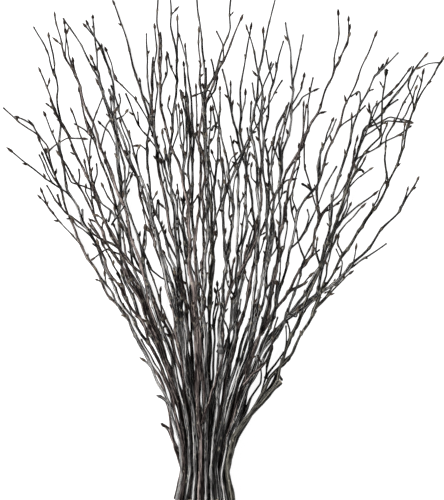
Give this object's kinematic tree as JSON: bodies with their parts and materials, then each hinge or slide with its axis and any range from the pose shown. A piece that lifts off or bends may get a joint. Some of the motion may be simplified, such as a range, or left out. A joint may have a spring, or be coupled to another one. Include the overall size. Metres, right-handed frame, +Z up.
{
  "type": "bunch of dried birch branches",
  "caption": "Bunch of thin dried birch branches with side twigs and pointed buds, gathered at a narrow neck of cut stems and fanning out, lying on its side.",
  "frame": {"origin": "on the surface that the bunch lies on, under the middle of its box", "axes": "+Y from the cut ends towards the fanned tips, +Z up from the surface that it lies on, +X across the fan, to the right when seen from above with the tips away from the viewer"},
  "size_m": [0.442, 0.5151, 0.1572],
  "materials": {
    "bark_grey": "dry grey-brown bark with pale specks and a slight sheen",
    "bark_red": "dry red-brown bark with pale specks and a slight sheen",
    "bark_olive": "dry olive-grey bark with pale specks"
  },
  "bodies": {
    "root": {"branch_outer_left": "bark_red", "branch_low_left_twin": "bark_grey", "branch_left_reach": "bark_grey", "branch_left_parallel": "bark_red", "branch_low_left_sweep": "bark_red", "branch_left_inner_sweep": "bark_red", "branch_left_centre": "bark_grey", "branch_left_mid_dark": "bark_red", "branch_brown_left": "bark_red", "branch_bud_cluster": "bark_grey", "branch_left_core": "bark_grey", "branch_left_fork": "bark_red", "branch_left_twin": "bark_red", "branch_red_pair_left": "bark_red", "branch_left_mid_long": "bark_grey", "branch_red_pair_right": "bark_grey", "branch_zigzag": "bark_grey", "branch_thin_straight": "bark_grey", "branch_tall_left": "bark_red", "branch_tall_mid": "bark_grey", "branch_grey_bend": "bark_grey", "branch_tall_mid_left": "bark_red", "branch_slim_mid": "bark_grey", "branch_core_left": "bark_grey", "branch_core_brown": "bark_red", "branch_core_right": "bark_red", "branch_straight_mid": "bark_red", "branch_core_middle": "bark_grey", "branch_ladder": "bark_grey", "branch_bend_top": "bark_olive", "branch_crossing_thin": "bark_grey", "branch_inner_right": "bark_grey", "branch_mid_fan": "bark_grey", "branch_mid_right": "bark_grey", "branch_core_dark": "bark_red", "branch_right_arc": "bark_grey", "branch_droop_tip": "bark_grey", "branch_right_tall": "bark_grey", "branch_sweep_right": "bark_red", "branch_right_inner": "bark_grey", "branch_right_bow": "bark_grey", "branch_brown_right": "bark_red", "branch_right_hook": "bark_grey", "branch_right_lean": "bark_grey", "branch_long_right": "bark_grey", "branch_right_bud_tip": "bark_grey", "branch_right_mid": "bark_red", "branch_low_right_long": "bark_grey", "branch_right_spread": "bark_grey", "branch_outer_right": "bark_olive", "branch_olive_low": "bark_olive", "branch_broken_low": "bark_olive"}
  },
  "joints": []
}
